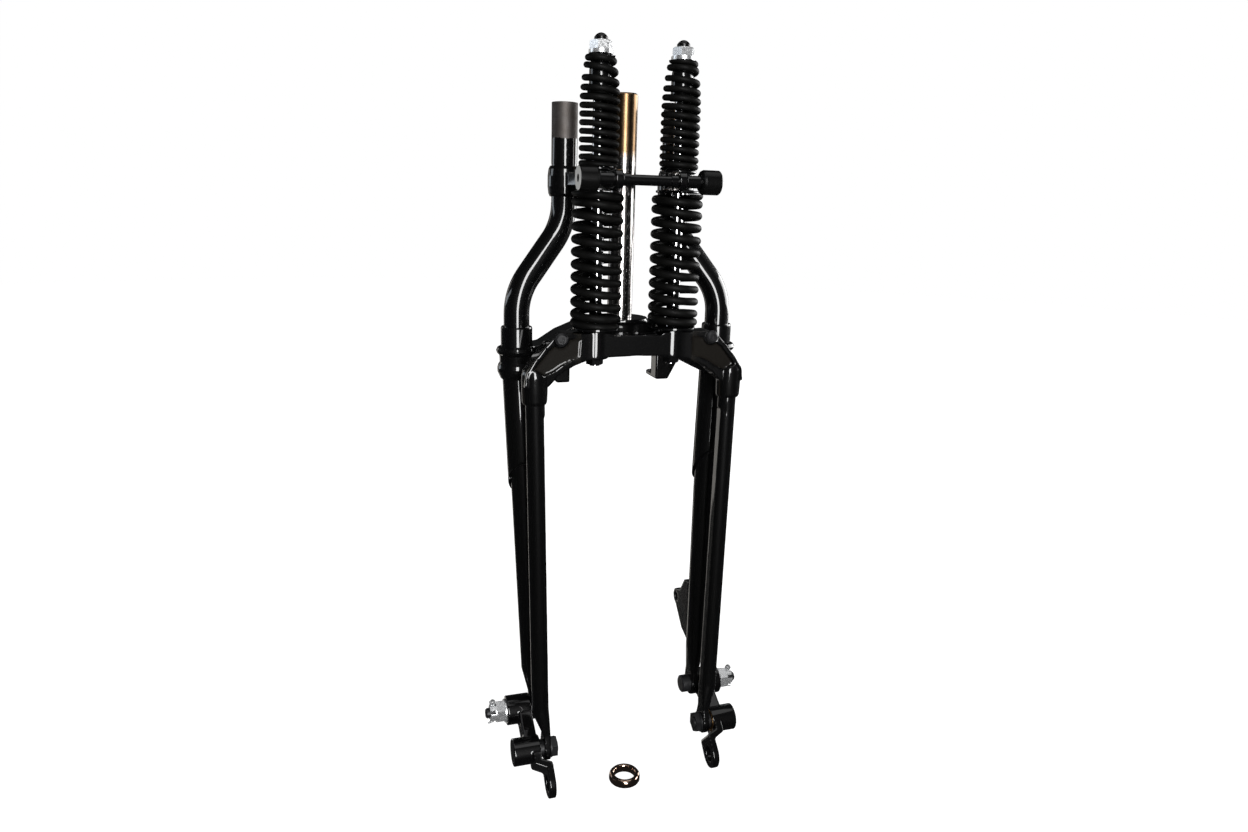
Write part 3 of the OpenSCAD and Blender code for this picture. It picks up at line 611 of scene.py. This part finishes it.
def make_floor(floor_z):
    """A pale disc that glows enough to run into the backdrop, and that gloss doesn't reflect."""
    made = glowing("floor_white", (0.35, 0.35, 0.35), 0.9)
    away = made.node("ShaderNodeVectorMath", operation="LENGTH")
    made.link(made.place, away.inputs[0])
    made.into("Emission Strength", made.span(away.outputs["Value"], *GLOW_DISTANCES, *FLOOR_GLOW))
    shape = bmesh.new()
    bmesh.ops.create_circle(shape, cap_ends=True, segments=96, radius=FLOOR_RADIUS)
    mesh = bpy.data.meshes.new("floor")
    shape.to_mesh(mesh)
    shape.free()
    mesh.materials.append(made.material)
    floor = placed("floor", mesh)
    floor.location.z = floor_z
    floor.visible_glossy = False
    floor.visible_shadow = False
    return floor


def make_backdrop():
    """A white sphere round everything, which lights nothing."""
    made = glowing("backdrop_white", (0.0, 0.0, 0.0), 1.0)
    made.surface.inputs["Emission Strength"].default_value = 1.0
    shape = bmesh.new()
    bmesh.ops.create_uvsphere(shape, u_segments=64, v_segments=32, radius=BACKDROP_RADIUS)
    mesh = bpy.data.meshes.new("backdrop")
    shape.to_mesh(mesh)
    shape.free()
    mesh.materials.append(made.material)
    backdrop = placed("backdrop", mesh)
    backdrop.visible_glossy = False
    backdrop.visible_diffuse = False
    backdrop.visible_shadow = False
    return backdrop


def strip(name, angle, distance, height, width, length, power, tint):
    """An upright strip light that faces the fork, at an angle to the right of the camera's side."""
    data = bpy.data.lights.new(name, "AREA")
    data.shape = "RECTANGLE"
    data.size = width
    data.size_y = length
    data.energy = power
    data.color = tint
    light = placed(name, data)
    a = math.atan2(CAMERA_PLACE.y, CAMERA_PLACE.x) + math.radians(angle)
    light.location = (distance * math.cos(a), distance * math.sin(a), height)
    aim = -light.location
    aim.z = 0
    light.rotation_mode = "QUATERNION"
    light.rotation_quaternion = aim.to_track_quat("-Z", "Z")
    light.visible_camera = False


def make_lights():
    """Strip lights for the long highlights, one soft light overhead, and a dim world."""
    for name, settings in STRIPS.items():
        strip(name, *settings)
    data = bpy.data.lights.new("overhead", "AREA")
    data.size = OVERHEAD_SIZE
    data.energy = OVERHEAD_POWER
    placed("overhead", data).location = OVERHEAD_PLACE
    world = bpy.data.worlds.new("world")
    world.use_nodes = True
    background = world.node_tree.nodes["Background"]
    background.inputs["Color"].default_value = (*WORLD_COLOR, 1)
    background.inputs["Strength"].default_value = WORLD_STRENGTH
    bpy.context.scene.world = world


def make_studio():
    """A white floor and backdrop, the loose ring, the lights, and plain colour handling."""
    floor_z = min(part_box("rocker_" + side)[0].z for side in SIDES) - FLOOR_GAP
    floor = make_floor(floor_z)
    backdrop = make_backdrop()
    lost_ring(floor_z)
    make_lights()
    scene = bpy.context.scene
    scene.view_settings.view_transform = "Standard"
    scene.view_settings.look = "None"
    scene.cycles.use_denoising = True


# ---- the pieces ----

def color_cad_nodes():
    """Gives a material to each CAD node that is shown as it is."""
    paint = gloss_paint("black_paint_turned", edge=0.0005)
    chrome = polished("rod_chrome", (0.45, 0.45, 0.46), 0.07)
    stem_steel = polished("stem_steel", (0.42, 0.4, 0.39), 0.15, STAIN_FROM)
    zinc = plating("bright_zinc", (0.9, 0.91, 0.92), 0.2)
    oxide = blackened()
    bush = bronze()
    tubes = tube_paint("tube_paint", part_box("rear_tube_left")[1].z - BARE_LENGTH)
    materials = {
        "steering_stem": stem_steel,
        "crown_bolts": oxide,
        "bridge_bushings": bush,
        "bridge_cross_bar": paint,
        "bridge_end_knobs": knob_plastic(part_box("bridge_end_knobs")[1].x - KNOB_RING_DEPTH),
        "castle_nuts": zinc,
        "rear_stud_washers": zinc,
        "cotter_pins": zinc,
        "rod_lower_nuts": paint,
        "rod_top_washers": zinc,
        "recoil_spring_retainers": paint,
        "rod_top_nuts": zinc,
        "rod_end_caps": moulded_plastic(),
        "front_stud_washers": oxide,
        "front_stud_nuts": oxide,
        "cushion_spring_seats": paint,
    }
    for side in SIDES:
        materials["rear_tube_" + side] = tubes
        materials["leg_sleeve_" + side] = paint
        materials["spring_rod_" + side] = chrome
        materials["rear_stud_" + side] = oxide
        materials["front_stud_" + side] = oxide
        materials["rear_bushing_" + side] = bush
        materials["front_bushing_" + side] = bush
        materials["tube_collar_" + side] = paint
        materials["tube_lug_" + side] = paint
    for node, material in materials.items():
        mesh = nodes[node].data
        mesh.materials.clear()
        mesh.materials.append(material)


def make_forgings():
    """The forged pieces, each with the voxel size and the smoothing passes that suit it."""
    leg_paint = gloss_paint("black_paint")
    paint = gloss_paint("black_paint_on_forging", casting=CASTING_BUMP)
    panel = (PANEL_FROM, rod_centre("left").y - PANEL_SETBACK)
    crown_paint = gloss_paint("black_paint_on_crown", casting=CASTING_BUMP, panel=panel)
    softened("front_crown", 0.8 * MM, 10, crown_paint)
    softened("rear_crown", 0.9 * MM, 10, paint)
    softened("brake_anchor", 0.6 * MM, 8, paint)
    for side in SIDES:
        softened("rocker_" + side, 0.6 * MM, 8, paint)
        softened("rod_bracket_" + side, 0.6 * MM, 8, paint)
        softened("rear_leg_" + side, 0.9 * MM, 14, leg_paint)
        softened("front_leg_" + side, 0.8 * MM, 12, leg_paint)


def make_springs():
    """Two cushion springs below the bridge and two recoil springs above it."""
    coating = spring_coating()
    for side in SIDES:
        cushion_spring(side, coating)
        recoil_spring(side, coating)


make_camera()
make_studio()
color_cad_nodes()
make_forgings()
make_springs()
